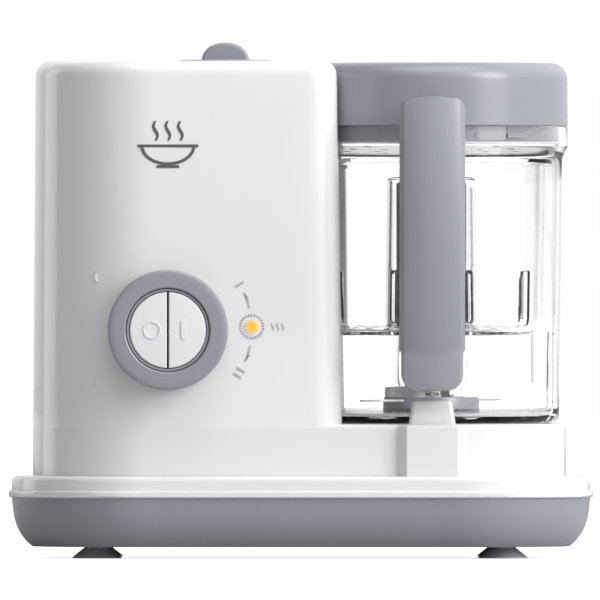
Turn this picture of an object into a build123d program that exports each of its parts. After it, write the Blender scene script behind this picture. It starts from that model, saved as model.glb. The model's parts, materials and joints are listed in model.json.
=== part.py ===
"""Baby food maker: a steam boiler tower on the left, and a motor-driven blending jar with a
steaming basket on the right, on a common base with suction feet.

Frame: millimetres, +X to the right, +Y to the back, +Z up. The front faces -Y. The origin is on
the table, below the centre of the base.
"""

from build123d import *
import os
from math import cos, sin, radians, sqrt

os.makedirs("parts", exist_ok=True)

# ----------------------------------------------------------------------------------------------
# driving dimensions
# ----------------------------------------------------------------------------------------------
# base tray and flange
HALF_W = 137.3          # half width of the flange and of the tray
HALF_D = 90.6           # half depth of the same
BASE_CORNER_R = 62.0    # plan corner radius
BEAD = 1.4              # how far the bead stands out of the flange
Z_TRAY_BOTTOM = 5.4
Z_TRAY_TOP = 28.7       # joint between tray and housing
Z_BEAD_TOP = 32.1
Z_FLANGE_TOP = 39.0

# housing
Z_PLATFORM = 63.6       # top of the platform that carries the jar
Z_TOP = 235.5           # top of the tower
WALL = 2.6              # flange and tower walls
PLATFORM_WALL = 3.4
CEILING = 2.8           # thickness under the platform's and the tower's top
BODY_LEFT, BODY_RIGHT = -127.3, 125.9
BODY_Y = 80.5           # half depth of tower and platform
BODY_CORNER_R = 55.0
TOWER_CORNER_R = 14.0   # vertical rounding of the tower's right corners
TOWER_TOP_R = 7.0
# tower plans: left side, right side, front
TOWER_FOOT = (BODY_LEFT, 19.9, -BODY_Y)
TOWER_HEAD = (-126.0, 16.9, -BODY_Y + 1.0)

# axes; a vertical axis is (x, y) and an axis along Y is (x, z)
JAR_X, JAR_Y = JAR = (62.0, 6.0)            # jar, blade and motor
BOILER_X, BOILER_Y = BOILER = (-57.0, 16.0)
CAP_X, CAP_Y = CAP = (-36.0, 14.0)          # water cap
HOSE_X, HOSE_Y = HOSE_PORT = (-62.0, 40.0)  # steam pipe on the boiler
DIAL_X, DIAL_Z = DIAL = (-62.9, 108.1)
LED = (-23.3, 109.7)
CORD_X, CORD_Z = CORD = (-40.0, 18.0)       # cord outlet
REAR_X, REAR_Z = REAR = (-40.0, 138.0)      # middle of the rear cover

NICHE_R = 66.8          # cylindrical niche in the tower that clears the jar
COLLAR_R = 65.0         # jar's collar
LID_R = 64.9
NOZZLE_ANGLE = 160.0    # steam nozzle, degrees from +X round the jar's axis
NOZZLE_Z = 218.0


# ----------------------------------------------------------------------------------------------
# places and planes
# ----------------------------------------------------------------------------------------------
def corners(centre, half_x, half_y):
    """The four corners of a rectangle round a centre."""
    return [(centre[0] + half_x * i, centre[1] + half_y * j) for i in (-1, 1) for j in (-1, 1)]


def polar(centre, radius, angle):
    return (centre[0] + radius * cos(radians(angle)), centre[1] + radius * sin(radians(angle)))


def section_plane(at, angle=0.0):
    """Upright half plane through a vertical axis: local x is the radius, local y is height."""
    c, s = cos(radians(angle)), sin(radians(angle))
    return Plane(origin=(*at, 0), x_dir=(c, s, 0), z_dir=(s, -c, 0))


def radial_plane(angle, z, distance):
    """Plane that faces away from the jar's axis, at a distance from it."""
    c, s = cos(radians(angle)), sin(radians(angle))
    return Plane(origin=(*JAR, z), x_dir=(-s, c, 0), z_dir=(c, s, 0)).offset(distance)


# ----------------------------------------------------------------------------------------------
# outlines
# ----------------------------------------------------------------------------------------------
def trace(steps, at=(0.0, 0.0)):
    """Draws a closed outline, shifted by at, in the open BuildLine.

    The first step is the start. After it, two numbers are the end of a line, and four are the
    middle and the end of an arc. A line closes the outline where the last step does not.
    """
    def shifted(point):
        return (point[0] + at[0], point[1] + at[1])

    start = here = shifted(steps[0])
    for step in steps[1:]:
        end = shifted(step[-2:])
        if len(step) == 4:
            ThreePointArc(here, shifted(step[:2]), end)
        else:
            Line(here, end)
        here = end
    if here != start:
        Line(here, start)


def trace_sector(inner, outer, start, end, at):
    """Outline of part of a ring between two angles, in degrees from local x."""
    middle = (start + end) / 2
    trace([polar(at, outer, start),
           (*polar(at, outer, middle), *polar(at, outer, end)),
           polar(at, inner, end),
           (*polar(at, inner, middle), *polar(at, inner, start))])


def rounded_plan(x0, x1, y0, y1, left_r, right_r):
    """A rectangle in plan with one corner radius on its left and another on its right."""
    with BuildSketch(mode=Mode.PRIVATE) as s:
        with Locations(((x0 + x1) / 2, (y0 + y1) / 2)):
            Rectangle(x1 - x0, y1 - y0)
        fillet(s.vertices().group_by(Axis.X)[0], left_r)
        fillet(s.vertices().group_by(Axis.X)[-1], right_r)
    return s.sketch


def hull_plan(inset):
    corner = BASE_CORNER_R - inset
    return rounded_plan(-HALF_W + inset, HALF_W - inset, -HALF_D + inset, HALF_D - inset,
                        corner, corner)


def body_plan(inset=0.0):
    corner = BODY_CORNER_R - inset
    return rounded_plan(BODY_LEFT + inset, BODY_RIGHT - inset, -BODY_Y + inset, BODY_Y - inset,
                        corner, corner)


def tower_plan(left, right, front, inset=0.0):
    return rounded_plan(left + inset, right - inset, front + inset, BODY_Y - inset,
                        BODY_CORNER_R - inset, TOWER_CORNER_R - inset)


# ----------------------------------------------------------------------------------------------
# solids, each added to or cut from the open BuildPart
# ----------------------------------------------------------------------------------------------
def plan_solid(z0, z1, plan, mode=Mode.ADD):
    with BuildSketch(Plane.XY.offset(z0)) as s:
        add(plan)
    extrude(s.sketch, amount=z1 - z0, mode=mode)


def ring(plane, length, radius, at, bore, mode):
    with BuildSketch(plane) as s:
        with Locations(at):
            Circle(radius)
            if bore:
                Circle(bore, mode=Mode.SUBTRACT)
    extrude(s.sketch, amount=length, mode=mode)


def tube(z0, z1, radius, at, bore=0.0, mode=Mode.ADD):
    """An upright ring, or a disc where there is no bore."""
    ring(Plane.XY.offset(z0), z1 - z0, radius, at, bore, mode)


def tube_y(y0, y1, radius, at, bore=0.0, mode=Mode.ADD):
    """A ring or disc whose axis runs along Y."""
    ring(Plane.XZ.offset(-y1), y1 - y0, radius, at, bore, mode)


def drill(points, radius, z0, z1):
    for point in points:
        tube(z0, z1, radius, point, mode=Mode.SUBTRACT)


def drill_y(points, radius, y0, y1):
    for point in points:
        tube_y(y0, y1, radius, point, mode=Mode.SUBTRACT)


def block(x0, x1, y0, y1, z0, z1, mode=Mode.ADD):
    with BuildSketch(Plane.XY.offset(z0)) as s:
        with Locations(((x0 + x1) / 2, (y0 + y1) / 2)):
            Rectangle(x1 - x0, y1 - y0)
    extrude(s.sketch, amount=z1 - z0, mode=mode)


def block_at(at, half_x, half_y, z0, z1, mode=Mode.ADD):
    """A block centred in plan on a point."""
    block(at[0] - half_x, at[0] + half_x, at[1] - half_y, at[1] + half_y, z0, z1, mode)


def block_y(at, half_x, half_z, y0, y1, mode=Mode.ADD):
    """A block centred in front view on a point."""
    block(at[0] - half_x, at[0] + half_x, y0, y1, at[1] - half_z, at[1] + half_z, mode)


def turned(outline, at):
    """Revolves a closed outline of (radius, z) steps about a vertical axis."""
    with BuildSketch(section_plane(at)) as s:
        with BuildLine():
            trace(outline)
        make_face()
    revolve(s.sketch, axis=Axis((*at, 0), (0, 0, 1)))


def sector(z0, z1, inner, outer, start, end, mode=Mode.ADD):
    """Part of a ring round the jar's axis, between two angles in degrees from +X."""
    with BuildSketch(Plane.XY.offset(z0)) as s:
        with BuildLine():
            trace_sector(inner, outer, start, end, JAR)
        make_face()
    extrude(s.sketch, amount=z1 - z0, mode=mode)


CROSS_DEPTH = 0.8       # cross recess in a screw's head
CROSS_HALF_W = 0.3
CROSS_REACH = 0.6       # its half length, as a part of the head's radius
SCREW_OVERLAP = 0.1     # how far the shank runs into the head


def screw_z(at, seat, length, head_r=2.4, head_h=2.0, shank_r=1.3, up=True):
    """A pan-head screw along Z: the head sits on the seat, the shank runs up or down from it."""
    if up:
        head, shank = (seat - head_h, seat), (seat - SCREW_OVERLAP, seat + length)
        cross = (head[0], head[0] + CROSS_DEPTH)
    else:
        head, shank = (seat, seat + head_h), (seat - length, seat + SCREW_OVERLAP)
        cross = (head[1] - CROSS_DEPTH, head[1])
    reach = head_r * CROSS_REACH
    tube(*head, head_r, at)
    tube(*shank, shank_r, at)
    block_at(at, reach, CROSS_HALF_W, *cross, mode=Mode.SUBTRACT)
    block_at(at, CROSS_HALF_W, reach, *cross, mode=Mode.SUBTRACT)


def screw_y(at, seat, length, head_r, head_h=1.8, shank_r=1.15):
    """A pan-head screw along Y, with its head behind the seat and its shank in front."""
    reach = head_r * CROSS_REACH
    cross = (seat + head_h - CROSS_DEPTH, seat + head_h)
    tube_y(seat, seat + head_h, head_r, at)
    tube_y(seat - length, seat + SCREW_OVERLAP, shank_r, at)
    block_y(at, reach, CROSS_HALF_W, *cross, mode=Mode.SUBTRACT)
    block_y(at, CROSS_HALF_W, reach, *cross, mode=Mode.SUBTRACT)


# ----------------------------------------------------------------------------------------------
# edges and files
# ----------------------------------------------------------------------------------------------
def top_rim(builder):
    return builder.faces().sort_by(Axis.Z)[-1].outer_wire().edges()


def front_rim(builder):
    return builder.faces().sort_by(Axis.Y)[0].outer_wire().edges()


def soft_fillet(edges, radii):
    """Fillets with the first radius that the kernel accepts; leaves the edges sharp if none."""
    for radius in radii:
        try:
            fillet(edges, radius)
            return
        except Exception:  # the kernel could not build this radius
            continue


def save(builder, name):
    builder.part.label = name
    export_step(builder.part, f"parts/{name}.step")


# ----------------------------------------------------------------------------------------------
# base tray: a hull with a curved side, closed underneath
# ----------------------------------------------------------------------------------------------
# z, inset from the flange's plan
TRAY_OUTSIDE = ((Z_TRAY_BOTTOM, 9.9), (8.6, 6.4), (14.0, 2.9), (21.0, 0.85), (Z_TRAY_TOP, 0.0))
TRAY_INSIDE = ((8.0, 13.2), (11.0, 8.6), (16.0, 5.2), (22.0, 3.3), (Z_TRAY_TOP + 0.6, WALL))

BASE_SCREWS = [(-70, 74.0), (70, 74.0), (-70, -74.0), (75, -74.0), (-121.0, 0), (121.0, 0)]
STAND_SCREWS = [polar(BOILER, 46, angle) for angle in (60, 180, 300)]
FEET = [(-96.6, -52.0), (95.6, -52.0), (-96.6, 52.0), (95.6, 52.0)]
BASE_SCREW_SEAT, STAND_SCREW_SEAT = 10.6, 7.0
Z_PAD_TOP = 13.8        # top of the base screws' pads
STAND_SEAT = 8.6        # where the boiler stand's legs rest
VENT_R = 30.0           # cooling slots fill this circle
VENT_PITCH = 6.5

with BuildPart() as base_tray:
    for z, inset in TRAY_OUTSIDE:
        with BuildSketch(Plane.XY.offset(z)):
            add(hull_plan(inset))
    loft()
with BuildPart() as tray_core:
    for z, inset in TRAY_INSIDE:
        with BuildSketch(Plane.XY.offset(z)):
            add(hull_plan(inset))
    loft()
with base_tray:
    add(tray_core.part, mode=Mode.SUBTRACT)
    # screw pads, each with a head recess from below and a shank hole
    for point in BASE_SCREWS:
        tube(7.0, Z_PAD_TOP, 5.0, point)
    for point in STAND_SCREWS:
        tube(7.6, STAND_SEAT, 6.0, point)
    drill(BASE_SCREWS, 3.4, 0, BASE_SCREW_SEAT)
    drill(BASE_SCREWS, 1.8, 0, 20.0)
    drill(STAND_SCREWS, 3.2, 0, STAND_SCREW_SEAT)
    drill(STAND_SCREWS, 1.8, 0, 20.0)
    # holes for the stems of the suction feet
    drill(FEET, 3.05, 0, 12.0)
    # cooling slots under the motor
    for i in range(-4, 5):
        slot_length = 2 * sqrt(VENT_R ** 2 - (i * VENT_PITCH) ** 2)
        with BuildSketch(Plane.XY.offset(0)):
            with Locations((JAR_X + i * VENT_PITCH, JAR_Y)):
                SlotOverall(slot_length, 2.6, rotation=90)
        extrude(amount=9.0, mode=Mode.SUBTRACT)
    # outlet for the cord
    drill_y([CORD], 5.2, 70, 100)
save(base_tray, "base_tray")

# ----------------------------------------------------------------------------------------------
# suction feet: a stem, a neck and a hollow cone
# ----------------------------------------------------------------------------------------------
# radius, z
FOOT_PROFILE = [
    (0, 2.2), (4.0, 2.0), (10.4, 0.0), (11.7, 0.0), (11.7, 0.5), (6.6, 4.4), (4.3, 4.4),
    (4.3, 5.3), (2.95, 5.3), (2.95, 8.1), (4.2, 8.3), (4.2, 9.6), (2.0, 11.2), (0, 11.2),
]
with BuildPart() as suction_feet:
    for point in FEET:
        turned(FOOT_PROFILE, point)
save(suction_feet, "suction_feet")

# ----------------------------------------------------------------------------------------------
# housing: flange, platform and tower in one moulding, open underneath
# ----------------------------------------------------------------------------------------------
# raised panel on the platform's front: x from the jar's axis, y from the platform's front
FRONT_PANEL = [(-17.2, 3), (-16.6, 0), (-12.0, -5.6), (12.0, -5.6), (16.6, 0), (17.2, 3)]
# posts along Y, round the dial: for the control frame, and on the frame for the circuit board
FRAME_POSTS = corners(DIAL, 31.5, 25.0)
BOARD_POSTS = corners(DIAL, 25.0, 21.5)
REAR_SCREWS = corners(REAR, 40.5, 50.0)
MOTOR_MOUNTS = corners(JAR, 31, 31)


def is_bead_edge(edge):
    """True for the straight edges along the top and the bottom of the bead."""
    middle = edge.center()
    at_height = abs(middle.Z - Z_BEAD_TOP) < 0.01 or abs(middle.Z - Z_TRAY_TOP) < 0.01
    at_side = (abs(abs(middle.X) - (HALF_W + BEAD)) < 0.3
               or abs(abs(middle.Y) - (HALF_D + BEAD)) < 0.3)
    return at_height and at_side


def is_niche_edge(edge):
    """True for the long upright edges where the niche meets the tower's right side."""
    middle = edge.center()
    return (edge.bounding_box().size.Z > 140 and abs(middle.X - 19) < 3
            and -52 < middle.Y < 64)


with BuildPart() as housing:
    # flange with its bead
    plan_solid(Z_TRAY_TOP, Z_FLANGE_TOP, hull_plan(0.0))
    soft_fillet(top_rim(housing), (2.4, 1.5))
    plan_solid(Z_TRAY_TOP, Z_BEAD_TOP, hull_plan(-BEAD))
    soft_fillet(ShapeList([e for e in housing.edges() if is_bead_edge(e)]), (0.9, 0.5))
    # platform and its front panel
    plan_solid(Z_FLANGE_TOP - 1, Z_PLATFORM, body_plan())
    with BuildSketch(Plane.XY.offset(Z_FLANGE_TOP - 1)):
        with BuildLine():
            trace(FRONT_PANEL, at=(JAR_X, -BODY_Y))
        make_face()
    extrude(amount=Z_PLATFORM - Z_FLANGE_TOP + 1)
    platform_top = housing.faces().filter_by(Axis.Z).sort_by(Axis.Z)[-1]
    soft_fillet(platform_top.outer_wire().edges(), (2.2, 1.2, 0.6))
# tower, narrower at the top than at its foot
with BuildPart() as tower:
    with BuildSketch(Plane.XY.offset(Z_FLANGE_TOP)):
        add(tower_plan(*TOWER_FOOT))
    with BuildSketch(Plane.XY.offset(Z_TOP)):
        add(tower_plan(*TOWER_HEAD))
    loft(ruled=True)
    soft_fillet(top_rim(tower), (TOWER_TOP_R, 6.0, 4.0))
    tube(Z_PLATFORM, Z_TOP + 5, NICHE_R, JAR, mode=Mode.SUBTRACT)
    soft_fillet(ShapeList([e for e in tower.edges() if is_niche_edge(e)]), (3.0, 2.0, 1.0))
# wedge that the jar's handle sits over
with BuildPart() as wedge:
    with BuildSketch(Plane.XY.offset(Z_PLATFORM - 1)):
        with Locations((JAR_X, -69.5)):
            RectangleRounded(22.6, 22.0, 2.0)
    with BuildSketch(Plane.XY.offset(74.9)):
        with Locations((JAR_X, -68.5)):
            RectangleRounded(18.6, 18.0, 2.0)
    loft(ruled=True)
    soft_fillet(top_rim(wedge), (1.4, 1.0, 0.5))
with housing:
    add(tower.part)
    tube(Z_PLATFORM, Z_PLATFORM + 40, NICHE_R, JAR, mode=Mode.SUBTRACT)
    add(wedge.part)
    # hollow inside the flange and the platform
    plan_solid(Z_TRAY_TOP - 1, Z_FLANGE_TOP - WALL, hull_plan(WALL), mode=Mode.SUBTRACT)
    plan_solid(Z_TRAY_TOP - 1, Z_PLATFORM - CEILING, body_plan(PLATFORM_WALL),
               mode=Mode.SUBTRACT)
# hollow inside the tower, which leaves a wall round the niche
with BuildPart() as tower_core:
    with BuildSketch(Plane.XY.offset(Z_FLANGE_TOP)):
        add(tower_plan(*TOWER_FOOT, inset=WALL))
    with BuildSketch(Plane.XY.offset(Z_TOP - CEILING)):
        add(tower_plan(*TOWER_HEAD, inset=WALL))
    loft(ruled=True)
    soft_fillet(top_rim(tower_core), (5.0, 4.0, 3.0))
    tube(Z_PLATFORM - CEILING, Z_TOP + 5, NICHE_R + WALL, JAR, mode=Mode.SUBTRACT)
with housing:
    add(tower_core.part, mode=Mode.SUBTRACT)
    # seat for the water cap, sunk into the top
    tube(230.2, 234.5, 26.0, CAP)
    drill([CAP], 23.3, 232.6, 240.0)
    drill([CAP], 18.0, 225.0, 240.0)
    # pedestal behind the dial, which levels the front wall
    tube_y(-BODY_Y - 0.6, -70.5, 27.2, DIAL)
    drill_y([DIAL], 24.8, -78.5, -60.0)
    drill_y([DIAL], 22.9, -90.0, -60.0)
    # posts for the control frame
    for point in FRAME_POSTS:
        tube_y(-74.4 if point[0] < DIAL_X else -79.0, -69.0, 3.2, point, bore=1.2)
    # light pipe hole
    drill_y([LED], 2.95, -90.0, -60.0)
    # steam outlet hole through the niche wall
    with BuildSketch(radial_plane(NOZZLE_ANGLE, NOZZLE_Z, 60)):
        Circle(7.0)
    extrude(amount=14, mode=Mode.SUBTRACT)
    # opening for the rear cover
    with BuildSketch(Plane.XZ.offset(-BODY_Y - 1)):
        with Locations(REAR):
            RectangleRounded(70, 144, 5)
    extrude(amount=8, mode=Mode.SUBTRACT)
    # hole for the motor spindle
    drill([JAR], 8.6, Z_PLATFORM - 6, Z_PLATFORM + 4)
    # screw posts for the tray
    for point in BASE_SCREWS:
        tube(Z_PAD_TOP, 52.0, 4.6, point, bore=1.35)
    # short posts for the motor's rubber mounts
    for point in MOTOR_MOUNTS:
        tube(58.0, Z_PLATFORM - 2.0, 4.5, point, bore=1.35)
    # four ears round the rear opening for its screws
    for point in REAR_SCREWS:
        tube_y(73.5, BODY_Y - 1.0, 3.6, point)
        drill_y([point], 1.3, 72.0, BODY_Y + 3.0)
save(housing, "housing")

# ----------------------------------------------------------------------------------------------
# screws that hold the tray and the boiler stand
# ----------------------------------------------------------------------------------------------
with BuildPart() as base_screws:
    for point in BASE_SCREWS:
        screw_z(point, BASE_SCREW_SEAT, 14.0, head_r=3.0)
    for point in STAND_SCREWS:
        screw_z(point, STAND_SCREW_SEAT, 11.0, head_r=2.9, head_h=1.5)
save(base_screws, "base_screws")

# ----------------------------------------------------------------------------------------------
# rear cover with louvres, and its screws
# ----------------------------------------------------------------------------------------------
COVER_BACK_Y, COVER_FRONT_Y = 82.6, 80.6
LOUVRE_PITCH = 6.0
LOUVRES = [(REAR_X, z0 + LOUVRE_PITCH * i) for z0 in (82.0, 164.0) for i in range(6)]

with BuildPart() as rear_cover:
    with BuildSketch(Plane.XZ.offset(-COVER_BACK_Y)):
        with Locations(REAR):
            RectangleRounded(90, 156, 8)
    extrude(amount=COVER_BACK_Y - COVER_FRONT_Y)
    fillet(rear_cover.faces().sort_by(Axis.Y)[-1].outer_wire().edges(), 1.0)
    # rim that enters the opening
    with BuildSketch(Plane.XZ.offset(-80.7)):
        with Locations(REAR):
            RectangleRounded(69.2, 143.2, 4.6)
            RectangleRounded(65.8, 139.8, 3.2, mode=Mode.SUBTRACT)
    extrude(amount=80.7 - 75.4)
    with BuildSketch(Plane.XZ.offset(-90)):
        with Locations(LOUVRES):
            SlotOverall(48, 2.6)
    extrude(amount=20, mode=Mode.SUBTRACT)
    drill_y(REAR_SCREWS, 1.5, 70, 90)
save(rear_cover, "rear_cover")

with BuildPart() as rear_screws:
    for point in REAR_SCREWS:
        screw_y(point, COVER_BACK_Y + 0.05, 8.6, head_r=2.6)
save(rear_screws, "rear_screws")

# ----------------------------------------------------------------------------------------------
# dial and the cam behind it
# ----------------------------------------------------------------------------------------------
DIAL_R = 28.4
# radius, y
DIAL_PROFILE = [
    (19.9, -94.1), (20.5, -94.5), (26.8, -94.4), (27.6, -94.1), (28.2, -93.4), (DIAL_R, -92.4),
    (DIAL_R, -82.4), (27.8, -81.6), (22.8, -81.6), (22.8, -77.9), (20.3, -77.9), (20.3, -92.0),
    (19.9, -92.4),
]
with BuildPart() as dial:
    with BuildSketch(Plane(origin=(DIAL_X, 0, DIAL_Z), x_dir=(1, 0, 0), z_dir=(0, 0, 1))):
        with BuildLine():
            trace(DIAL_PROFILE)
        make_face()
    revolve(axis=Axis((DIAL_X, 0, DIAL_Z), (0, 1, 0)))
    # hollow from behind
    tube_y(-92.2, -81.0, 26.8, DIAL, bore=22.81, mode=Mode.SUBTRACT)
save(dial, "dial")

with BuildPart() as dial_cam:
    tube_y(-77.9, -75.4, 24.2, DIAL, bore=20.3)
    # arm that reaches back to the circuit board's switches
    with BuildSketch(Plane.XZ.offset(62.2)) as arm:
        with Locations((DIAL_X, DIAL_Z - 22.2)):
            Rectangle(4.4, 3.2)
    extrude(arm.sketch, amount=14.5)
save(dial_cam, "dial_cam")

# ----------------------------------------------------------------------------------------------
# control frame: the bezel round the buttons, on a plate behind the front wall
# ----------------------------------------------------------------------------------------------
BUTTON_PINS = [(DIAL_X + 8.4 * side, DIAL_Z) for side in (-1, 1)]
PLATE_BACK_Y, PLATE_FRONT_Y = -67.0, -69.0

with BuildPart() as control_frame:
    tube_y(-93.4, -68.0, 19.5, DIAL, bore=18.35)
    with BuildSketch(Plane.XZ.offset(-PLATE_BACK_Y)):
        with Locations(DIAL):
            RectangleRounded(70, 58, 4)
            Circle(14.5, mode=Mode.SUBTRACT)
    extrude(amount=PLATE_BACK_Y - PLATE_FRONT_Y)
    # bar across the hole, with a guide for each button's pin
    block_y(DIAL, 14.6, 3.0, PLATE_FRONT_Y, PLATE_BACK_Y)
    for point in BUTTON_PINS:
        tube_y(-73.0, PLATE_BACK_Y, 3.6, point)
        drill_y([point], 2.35, -75.0, -60.0)
    # window for the cam's arm
    with BuildSketch(Plane.XZ.offset(60.0)):
        with BuildLine():
            trace_sector(19.7, 25.2, 226, 314, DIAL)
        make_face()
    extrude(amount=12, mode=Mode.SUBTRACT)
    # spacers that carry the circuit board
    for point in BOARD_POSTS:
        tube_y(-67.5, -60.5, 2.8, point, bore=1.1)
    drill_y(FRAME_POSTS, 1.5, -70.0, -66.0)
save(control_frame, "control_frame")

with BuildPart() as control_screws:
    for board_post, frame_post in zip(BOARD_POSTS, FRAME_POSTS):
        screw_y(board_post, -58.85, 6.6, head_r=2.1, shank_r=1.0)
        frame_length = 8.0 if frame_post[0] > DIAL_X else 4.4
        screw_y(frame_post, PLATE_BACK_Y + 0.05, frame_length, head_r=2.3)
save(control_screws, "control_screws")

# ----------------------------------------------------------------------------------------------
# push buttons in the middle of the dial, each a hollow half disc with a pin behind it
# ----------------------------------------------------------------------------------------------
BUTTON_R = 18.0
BUTTON_GAP = 0.9        # between the two buttons
BUTTON_WALL = 1.4
Y_MARK = -93.8          # back of the raised marks


def half_disc(side, y_back, depth, inset=0.0, mode=Mode.ADD):
    """Half a disc round the dial's axis; side is -1 for the left half, 1 for the right."""
    cutter_w = 40
    with BuildSketch(Plane.XZ.offset(-y_back)) as s:
        with Locations(DIAL):
            Circle(BUTTON_R - inset)
        with Locations((DIAL_X - side * (cutter_w / 2 - BUTTON_GAP / 2 - inset), DIAL_Z)):
            Rectangle(cutter_w, 60, mode=Mode.SUBTRACT)
    extrude(s.sketch, amount=depth, mode=mode)


for name, side, pin in zip(("off_button", "on_button"), (-1, 1), BUTTON_PINS):
    with BuildPart() as button:
        half_disc(side, -80.0, 13.9)
        soft_fillet(front_rim(button), (0.7, 0.4))
        half_disc(side, -79.0, 12.6, BUTTON_WALL, mode=Mode.SUBTRACT)
        tube_y(-92.0, -66.7, 2.2, pin)
        # raised mark: a ring for off, a bar for on
        if side < 0:
            tube_y(-94.25, Y_MARK, 4.35, (DIAL_X - 7.5, DIAL_Z), bore=3.35)
        else:
            with BuildSketch(Plane.XZ.offset(-Y_MARK)):
                with Locations((DIAL_X + 7.3, DIAL_Z)):
                    SlotOverall(9.0, 2.4, rotation=90)
            extrude(amount=0.45)
    save(button, name)

# ----------------------------------------------------------------------------------------------
# circuit board, its components, and the indicator light
# ----------------------------------------------------------------------------------------------
BOARD_BACK_Y, BOARD_FRONT_Y = -58.9, -60.5

with BuildPart() as control_board:
    with BuildSketch(Plane.XZ.offset(-BOARD_BACK_Y)):
        with Locations((DIAL_X + 7.0, DIAL_Z)):
            RectangleRounded(90, 52, 2)
        with Locations(*BOARD_POSTS):
            Circle(1.2, mode=Mode.SUBTRACT)
    extrude(amount=BOARD_BACK_Y - BOARD_FRONT_Y)
save(control_board, "control_board")

with BuildPart() as switches:
    # one behind each button's pin
    for point in BUTTON_PINS:
        block_y(point, 3.0, 3.0, -64.0, BOARD_FRONT_Y)
        tube_y(-64.85, -63.9, 1.6, point)
    # one at each side of the cam's arm
    for angle in (220.0, 320.0):
        block_y(polar(DIAL, 22.0, angle), 3.2, 3.0, -66.4, BOARD_FRONT_Y)
save(switches, "switches")

with BuildPart() as board_components:
    block(-96.0, -77.0, BOARD_BACK_Y, -43.5, 100.0, 115.5)
    fillet(board_components.edges(), 0.8)
    for z in (95.0, 122.0):
        tube_y(BOARD_BACK_Y, -42.0, 5.0, (-30.0, z))
save(board_components, "board_components")

with BuildPart() as indicator_led:
    tube_y(-65.6, BOARD_FRONT_Y, 2.4, LED)
    tube_y(-61.7, BOARD_FRONT_Y, 2.8, LED)
    fillet(front_rim(indicator_led), 2.0)
save(indicator_led, "indicator_led")

with BuildPart() as indicator_lens:
    tube_y(-80.9, -66.2, 2.85, LED)
    fillet(front_rim(indicator_lens), 1.2)
    tube_y(-77.2, -75.8, 4.6, LED)
save(indicator_lens, "indicator_lens")

# ----------------------------------------------------------------------------------------------
# steam boiler: tank, seal, heater plate with its element and thermostat, on a stand
# ----------------------------------------------------------------------------------------------
BOILER_SCREWS = [polar(BOILER, 44.6, angle) for angle in range(0, 360, 60)]
TANK_R = 41.0
TANK_FLANGE_R = 47.5
Z_STAND_TOP = 113.8     # the heater plate lies on the stand,
Z_PLATE_TOP = 117.0     # the seal on the plate
Z_SEAL_TOP = 118.0      # and the tank's flange on the seal
Z_TANK_FLANGE = 121.5
# radius, z
TANK_PROFILE = [
    (38.5, Z_SEAL_TOP), (TANK_FLANGE_R, Z_SEAL_TOP), (TANK_FLANGE_R, Z_TANK_FLANGE),
    (TANK_R, Z_TANK_FLANGE), (TANK_R, 198.0), (39.4, 202.2), (36.0, 204.6), (0, 206.0),
    (0, 203.4), (35.0, 202.0), (37.4, 200.3), (38.5, 197.0),
]
with BuildPart() as boiler_tank:
    turned(TANK_PROFILE, BOILER)
    # filling neck
    tube(201.5, 231.8, 17.5, CAP)
    drill([CAP], 15.2, 190.0, 240.0)
    # steam pipe
    tube(202.5, 212.0, 2.5, HOSE_PORT)
    drill([HOSE_PORT], 1.5, 200.0, 214.0)
    drill(BOILER_SCREWS, 1.5, 110, 122)
save(boiler_tank, "boiler_tank")

with BuildPart() as boiler_seal:
    tube(Z_PLATE_TOP, Z_SEAL_TOP, 47.2, BOILER, bore=38.7)
    drill(BOILER_SCREWS, 1.6, 110, 122)
save(boiler_seal, "boiler_seal")

with BuildPart() as heater_plate:
    tube(Z_STAND_TOP, Z_PLATE_TOP, TANK_FLANGE_R, BOILER)
    drill(BOILER_SCREWS, 1.5, 110, 122)
save(heater_plate, "heater_plate")

with BuildPart() as heater_element:
    with BuildSketch(section_plane(BOILER)):
        with Locations((26.0, 109.7)):
            Circle(4.0)
    revolve(axis=Axis((*BOILER, 0), (0, 0, 1)), revolution_arc=300)
save(heater_element, "heater_element")

with BuildPart() as thermostat:
    tube(107.0, Z_STAND_TOP - 0.05, 8.0, BOILER)
    # two terminals
    for side in (-1, 1):
        block_at((BOILER_X + 4.5 * side, BOILER_Y), 0.4, 3.1, 99.0, 107.1)
save(thermostat, "thermostat")

with BuildPart() as boiler_stand:
    tube(109.8, Z_STAND_TOP, 49.0, BOILER, bore=38.0)
    # three tapered legs
    for point in STAND_SCREWS:
        with BuildSketch(Plane.XY.offset(STAND_SEAT)):
            with Locations(point):
                Circle(4.8)
        with BuildSketch(Plane.XY.offset(110.5)):
            with Locations(point):
                Circle(3.6)
        loft()
    drill(STAND_SCREWS, 1.4, 8.0, 20.0)
    drill(BOILER_SCREWS, 1.35, 105, 122)
save(boiler_stand, "boiler_stand")

with BuildPart() as boiler_screws:
    for point in BOILER_SCREWS:
        screw_z(point, Z_TANK_FLANGE + 0.05, 10.5, up=False)
save(boiler_screws, "boiler_screws")

# ----------------------------------------------------------------------------------------------
# steam hose and the soft nozzle that blows it at the lid's window
# ----------------------------------------------------------------------------------------------
OUTWARD_X, OUTWARD_Y = polar((0.0, 0.0), 1.0, NOZZLE_ANGLE)  # from the jar's axis
Z_HOSE_START = 206.3
Z_HOSE_BEND = 213.0


def nozzle_point(distance):
    """Point on the nozzle's axis at a distance from the jar's axis."""
    return (*polar(JAR, distance, NOZZLE_ANGLE), NOZZLE_Z)


def nozzle_ring(inner_end, outer_end, radius, bore):
    """A ring on the nozzle's axis between two distances from the jar's axis."""
    ring(radial_plane(NOZZLE_ANGLE, NOZZLE_Z, inner_end), outer_end - inner_end, radius,
         (0, 0), bore, Mode.ADD)


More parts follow.
